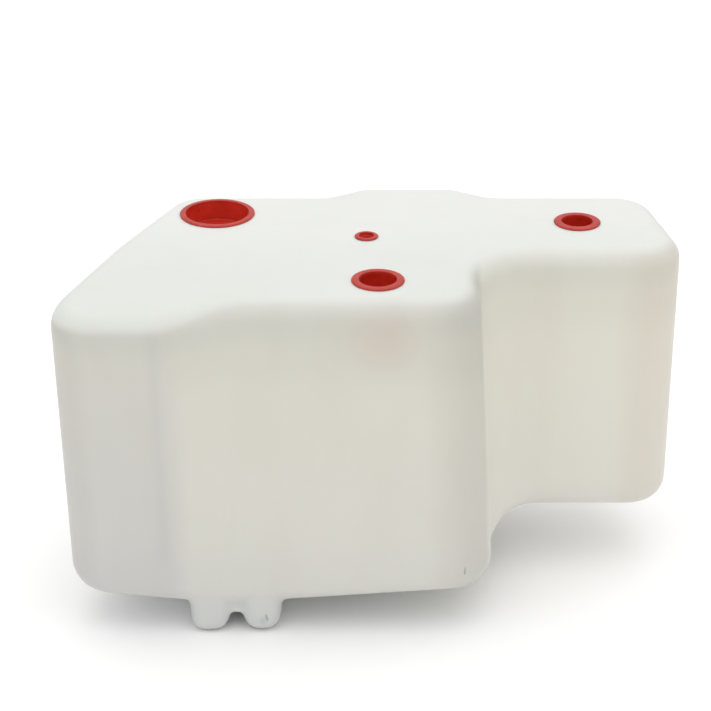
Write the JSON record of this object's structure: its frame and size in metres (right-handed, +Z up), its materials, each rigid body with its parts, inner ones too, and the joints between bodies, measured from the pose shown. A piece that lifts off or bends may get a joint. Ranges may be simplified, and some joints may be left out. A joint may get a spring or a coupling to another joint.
{
  "type": "fresh water tank",
  "caption": "Hollow step-shaped fresh water tank in natural polyethylene, with threaded ports in its flat top closed by red push-in plugs, and a two-lobed sump.",
  "frame": {"origin": "under the middle of the tank's bounding box, level with the lowest point of the sump", "axes": "+X along the tank's length to the right of its stepped front, +Y from the stepped front to the rear wall, +Z up through the ports"},
  "size_m": [0.644, 0.364, 0.3871],
  "materials": {
    "natural_polyethylene": "smooth satin, slightly translucent",
    "insert_polyethylene": "machined satin",
    "red_polyethylene": "soft gloss"
  },
  "bodies": {
    "tank": {"tank_shell": "natural_polyethylene", "filler_insert": "insert_polyethylene", "breather_insert": "insert_polyethylene", "suction_insert": "insert_polyethylene", "sender_insert": "insert_polyethylene"},
    "filler_plug": {"filler_plug": "red_polyethylene"},
    "breather_plug": {"breather_plug": "red_polyethylene"},
    "suction_plug": {"suction_plug": "red_polyethylene"},
    "sender_plug": {"sender_plug": "red_polyethylene"}
  },
  "joints": [
    {"name": "filler_plug_pull", "type": "slide", "parent": "tank", "child": "filler_plug", "axis": [0, 0, 1], "range_m": [0, 0.05]},
    {"name": "breather_plug_pull", "type": "slide", "parent": "tank", "child": "breather_plug", "axis": [0, 0, 1], "range_m": [0, 0.05]},
    {"name": "suction_plug_pull", "type": "slide", "parent": "tank", "child": "suction_plug", "axis": [0, 0, 1], "range_m": [0, 0.05]},
    {"name": "sender_plug_pull", "type": "slide", "parent": "tank", "child": "sender_plug", "axis": [0, 0, 1], "range_m": [0, 0.05]}
  ]
}
